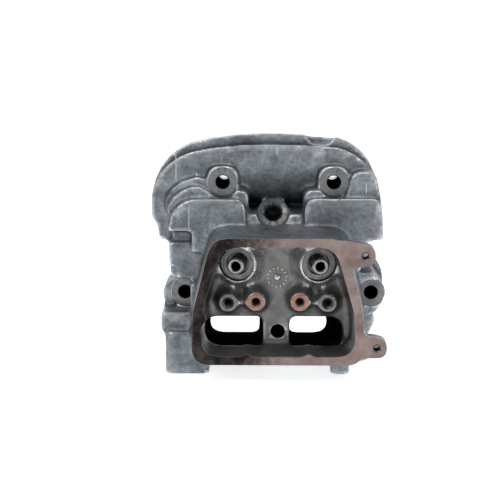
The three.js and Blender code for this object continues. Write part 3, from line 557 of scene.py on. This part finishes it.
def stand_for(piece, cad_node):
    """The piece rides on the only body, and takes the place of a CAD node."""
    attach(piece, "root")
    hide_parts(cad_node)


def sampled(grid, points, low, high):
    """The field at each point, spread from 0 at low to 1 at high."""
    reader = grid.getConstAccessor()
    cells = np.round(points / VOXEL).astype(int)
    values = np.array([reader.getValue((int(a), int(b), int(c))) for a, b, c in cells])
    return np.clip((values - low) / (high - low), 0, 1)


def attribute(mesh, name, values):
    """Stores one number for each point of the mesh."""
    made = mesh.attributes.new(name, "FLOAT", "POINT")
    made.data.foreach_set("value", np.asarray(values, np.float32))


RIDGES = [  # x, y of the face, bottom, top: where the parts of the mould met
    (-70.2, 6.0, 130.5, 148.6), (-0.9, 6.0, 146.7, 155.6), (-55.6, -5.0, 134.4, 137.8),
    (-60.6, -10.0, 98.7, 119), (59.7, -5.0, 121, 131.3),
]
RIDGE = 0.32


def bulge(mesh, points):
    """How sharply the surface bends outwards at each point, in 1/mm."""
    ends = np.empty(len(mesh.edges) * 2, np.int32)
    mesh.edges.foreach_get("vertices", ends)
    a, b = ends.reshape(-1, 2).T
    normals = np.empty(len(points) * 3, np.float32)
    mesh.vertices.foreach_get("normal", normals)
    normals = normals.reshape(-1, 3)
    step = points[b] - points[a]
    square = (step ** 2).sum(1) + 1e-6
    total, count = np.zeros(len(points)), np.zeros(len(points))
    for near, way in ((a, 1), (b, -1)):
        np.add.at(total, near, -2 * way * (step * normals[near]).sum(1) / square)
        np.add.at(count, near, 1)
    mean = total / np.maximum(count, 1)
    spread_out, count = mean.copy(), np.ones(len(points))
    for near, far in ((a, b), (b, a)):
        np.add.at(spread_out, near, mean[far])
        np.add.at(count, near, 1)
    return spread_out / count


def on_spring_cone(points, side):
    """1 on the slanted outside of a spring pocket's rim, which gets a painted highlight."""
    origin, axis = valve_line(side)
    offset = points - origin
    across = np.linalg.norm(offset - np.outer(offset @ axis, axis), axis=1)
    ring = (across > CONE_RADII[0]) & (across < CONE_RADII[1])
    slant = (points[:, 1] < FLOOR_Y - CONE_RISE) & (points[:, 1] > CONE_FRONT)
    return (ring & slant).astype(float)


def details():
    """Small raised marks: the mould's ridges and the dial on the floor of the rocker box."""
    centre = at(DIAL, FLOOR_Y)
    parts = []
    dome = [(-1.3, 0), (-1.25, 0.8), (-1.0, 1.7), (-0.5, 2.4), (0.4, 2.8), (0.4, 0)]
    parts.append((*lathe(dome, centre, ALONG_Y, 32), POLISHED))
    stud = [(-0.5, 0), (-0.4, 0.45), (0.3, 0.7), (0.3, 0)]
    for i in range(DIAL_MARKS):
        turn = 2 * math.pi * (i + 0.3) / DIAL_MARKS
        spot = centre + DIAL_RADIUS * np.array([math.cos(turn), 0, math.sin(turn)])
        parts.append((*lathe(stud, spot, ALONG_Y, 12), POLISHED))
    for x, y, bottom, top in RIDGES:
        length = top - bottom
        bead = [(0, 0), (1, RIDGE), (length - 1, RIDGE), (length, 0)]
        parts.append((*lathe(bead, (x, y, bottom), ALONG_Z, 10), CAST))
    return parts


def head_casting(materials):
    """Rounds the casting, machines it, adds the marks and stores what its material reads, with the
    masks of its painted shade, shadow and highlights.
    """
    solid, hollows = casting_fields()
    points, triangles, quads = solid.convertToPolygons(isovalue=0.0, adaptivity=FLATTEN)
    faces = [list(map(int, f)) for f in triangles] + [list(map(int, f)) for f in quads]
    head = mesh_object("head_casting_visual", [(list(points), faces, CAST)], materials)
    edge = PLUG_SEAT - 0.1
    ring = [(0, 0), (0, edge - 0.4), (0.4, edge), (4, edge), (4, 0)]
    carve(head, [(*lathe(ring, *PLUG_LINE), MACHINED)], "plug_ring", "UNION")
    for number, group in enumerate(machining()):
        carve(head, group, f"machining_{number}")
    extra = mesh_object("marks", details(), materials)
    bpy.ops.object.select_all(action="DESELECT")
    extra.select_set(True)
    head.select_set(True)
    bpy.context.view_layer.objects.active = head
    bpy.ops.object.join()
    mesh = head.data
    place = np.empty(len(mesh.vertices) * 3, np.float32)
    mesh.vertices.foreach_get("co", place)
    place = place.reshape(-1, 3) * 1000 - SHIFT
    x, y, z = place.T
    # the pushrod wells, which the material paints flat black as shadow
    bottom = WELL_BOTTOM - WELL_DROP * (y - WELL_START) / WELL_LENGTH
    in_well = (x > WELL_LEFT) & (x < WELL_RIGHT) & (z > bottom) & (z < WELL_TOP)
    in_well = in_well & ~((np.abs(x) < WEB_HALF) & (y < WEB_BACK))
    well = np.where(in_well, np.clip((y - WELL_START) / WELL_FADE, 0, 1), 0)
    # how deep each point lies in a narrow hollow, for the painted shade
    attribute(mesh, "hollow_shade", sampled(hollows, place, HOLLOW_SHALLOW, HOLLOW_DEEP))
    attribute(mesh, "well", well)
    # how sharply each point bends outwards, for the painted highlight on edges
    attribute(mesh, "edge", np.clip((bulge(mesh, place) - HIGHLIGHT_FROM) / HIGHLIGHT_SPAN, 0, 1))
    attribute(mesh, "cone_highlight", np.maximum(*[on_spring_cone(place, side) for side in (-1, 1)]))
    across = np.minimum(SHADE_HALF - np.abs(x), np.minimum(SHADE_TOP - z, z - SHADE_BOTTOM))
    inside = np.clip(across / SHADE_FADE, 0, 1) * np.clip((y - COVER_Y) / SHADE_FADE, 0, 1)
    attribute(mesh, "inside", inside * np.clip((SHADE_BACK - y) / SHADE_FADE, 0, 1))
    smooth(head)
    stand_for(head, "head_casting")


def paint_inside(piece, origin, axis, radius):
    """Gives the faces within that radius of the axis the second material."""
    for face in piece.data.polygons:
        offset = np.array(face.center) * 1000 - SHIFT - origin
        if np.linalg.norm(offset - axis * (offset @ axis)) < radius:
            face.material_index = 1


def pressed_in(metals):
    """The guides, the seat rings and the dowels."""
    guide, seat, dowel, hole = metals
    tip, end = over_floor(GUIDE_TIP), -GUIDE_END
    for side, word in ((-1, "intake"), (1, "exhaust")):
        line = valve_line(side)
        profile = [
            (tip, GUIDE_BORE + 0.7), (tip, GUIDE_RADIUS - 0.9), (tip + 0.9, GUIDE_RADIUS),
            (end - 0.6, GUIDE_RADIUS), (end, GUIDE_RADIUS - 0.6), (end, GUIDE_BORE),
            (tip + 0.7, GUIDE_BORE),
        ]
        turned = (*lathe(profile, *line, loop=True), 0)
        piece = mesh_object(f"{word}_guide_visual", [turned], [guide, hole])
        # the guide's bore takes the painted shadow
        paint_inside(piece, *line, GUIDE_BORE + 0.1)
        smooth(piece)
        stand_for(piece, f"{word}_valve_guide")
        outer, inner = SEATS[side]
        profile = [
            (-SEAT_DEPTH, inner), (-SEAT_DEPTH, outer - 0.3), (-SEAT_DEPTH + 0.3, outer),
            (-0.4, outer), (0, outer - 0.4), (0, inner + 2.2), (-0.5, inner + 1.4), (-2, inner),
        ]
        piece = mesh_object(f"{word}_seat_visual", [(*lathe(profile, *line, 96, True), 0)], [seat])
        smooth(piece, 25)
        stand_for(piece, f"{word}_valve_seat")
    for side, word in ((-1, "left"), (1, "right")):
        centre = at((side * UPPER_BOLT[0], UPPER_BOLT[1]))
        bore = DOWEL_RADIUS - DOWEL_WALL
        profile = [
            (DOWEL_FRONT, bore), (DOWEL_FRONT, DOWEL_RADIUS - 0.4),
            (DOWEL_FRONT + 0.4, DOWEL_RADIUS), (DOWEL_BACK - 0.8, DOWEL_RADIUS),
            (DOWEL_BACK, DOWEL_RADIUS - 0.7), (DOWEL_BACK, bore + 0.3), (DOWEL_BACK - 0.3, bore),
        ]
        turned = (*lathe(profile, centre, ALONG_Y, loop=True), 0)
        piece = mesh_object(f"{word}_dowel_visual", [turned], [dowel])
        smooth(piece)
        stand_for(piece, f"locating_dowel_{word}")


# Stage --------------------------------------------------------------------------------
def area_light(name, place, size, power):
    """A rectangular lamp that looks at the object."""
    lamp = bpy.data.lights.new(name, "AREA")
    lamp.shape = "RECTANGLE"
    lamp.size, lamp.size_y = size
    lamp.energy = power
    lamp.color = (1, 1, 1)
    made = bpy.data.objects.new(name, lamp)
    bpy.context.scene.collection.objects.link(made)
    made.location = place
    towards = Vector(LIT_POINT) - Vector(place)
    made.rotation_euler = towards.to_track_quat("-Z", "Y").to_euler()


def studio():
    """A pale floor, lamps, and a world that is bright behind the object and dim before it."""
    bpy.ops.mesh.primitive_plane_add(size=30, location=(0, 0, GROUND_Z))
    floor = bpy.context.object
    floor.name = "floor"
    made, _, shader = material("floor", (0.93, 0.93, 0.93), 0.0, 0.9)
    shader.inputs["Emission Color"].default_value = (1, 1, 1, 1)
    shader.inputs["Emission Strength"].default_value = GROUND_GLOW
    floor.data.materials.append(made)
    world = bpy.data.worlds.new("studio")
    bpy.context.scene.world = world
    world.use_nodes = True
    tree = world.node_tree
    background = tree.nodes["Background"]
    way = node(tree, "ShaderNodeTexCoord").outputs["Generated"]
    split = node(tree, "ShaderNodeSeparateXYZ", {0: way})
    behind = spread(tree, split.outputs[1], 0.3, 0.75)
    above = spread(tree, split.outputs[2], 0.55, 0.95)
    bright = maths(tree, "MAXIMUM", behind, maths(tree, "MULTIPLY", above, 0.45))
    color = mixed(tree, bright, WORLD_DARK, WORLD_BRIGHT)
    tree.links.new(color, background.inputs["Color"])
    for light in LIGHTS:
        area_light(*light)


def camera():
    """The photo's view: almost square on, from a little above."""
    lens = bpy.data.cameras.new("camera")
    lens.sensor_width, lens.lens = 36, LENS
    lens.clip_start, lens.clip_end = 0.05, 50
    made = bpy.data.objects.new("camera", lens)
    bpy.context.scene.collection.objects.link(made)
    ahead = Vector((
        -math.sin(VIEW_AZIMUTH) * math.cos(VIEW_ELEVATION),
        math.cos(VIEW_AZIMUTH) * math.cos(VIEW_ELEVATION),
        -math.sin(VIEW_ELEVATION)))
    made.location = Vector(VIEW_POINT) - ahead   # a metre away
    made.rotation_euler = ahead.to_track_quat("-Z", "Y").to_euler()
    bpy.context.scene.camera = made


studio()
camera()
cast = cast_aluminium()
rim = gasket_face()
machined = turned_metal("machined_aluminium", (0.19, 0.197, 0.203), 0.34)
copper = turned_metal("copper_stained", (0.36, 0.175, 0.13), 0.36, 0.7)
thread = turned_metal("thread", (0.16, 0.16, 0.16), 0.25)
# painted shadow, flat black, for the bolt holes, the oil hole and the guides' bores
bore = shadow("bore")
pocket = turned_metal("spring_pocket", (0.17, 0.17, 0.165), 0.34)
polished = turned_metal("polished", (0.6, 0.61, 0.6), 0.22)
head_casting([cast, rim, machined, copper, thread, bore, pocket, polished])
pressed_in([
    turned_metal("guide_metal", (0.33, 0.33, 0.32), 0.24),
    turned_metal("seat_metal", (0.36, 0.36, 0.37), 0.25),
    turned_metal("dowel_steel", (0.5, 0.5, 0.51), 0.28), bore])
scene = bpy.context.scene
scene.view_settings.view_transform = "Standard"
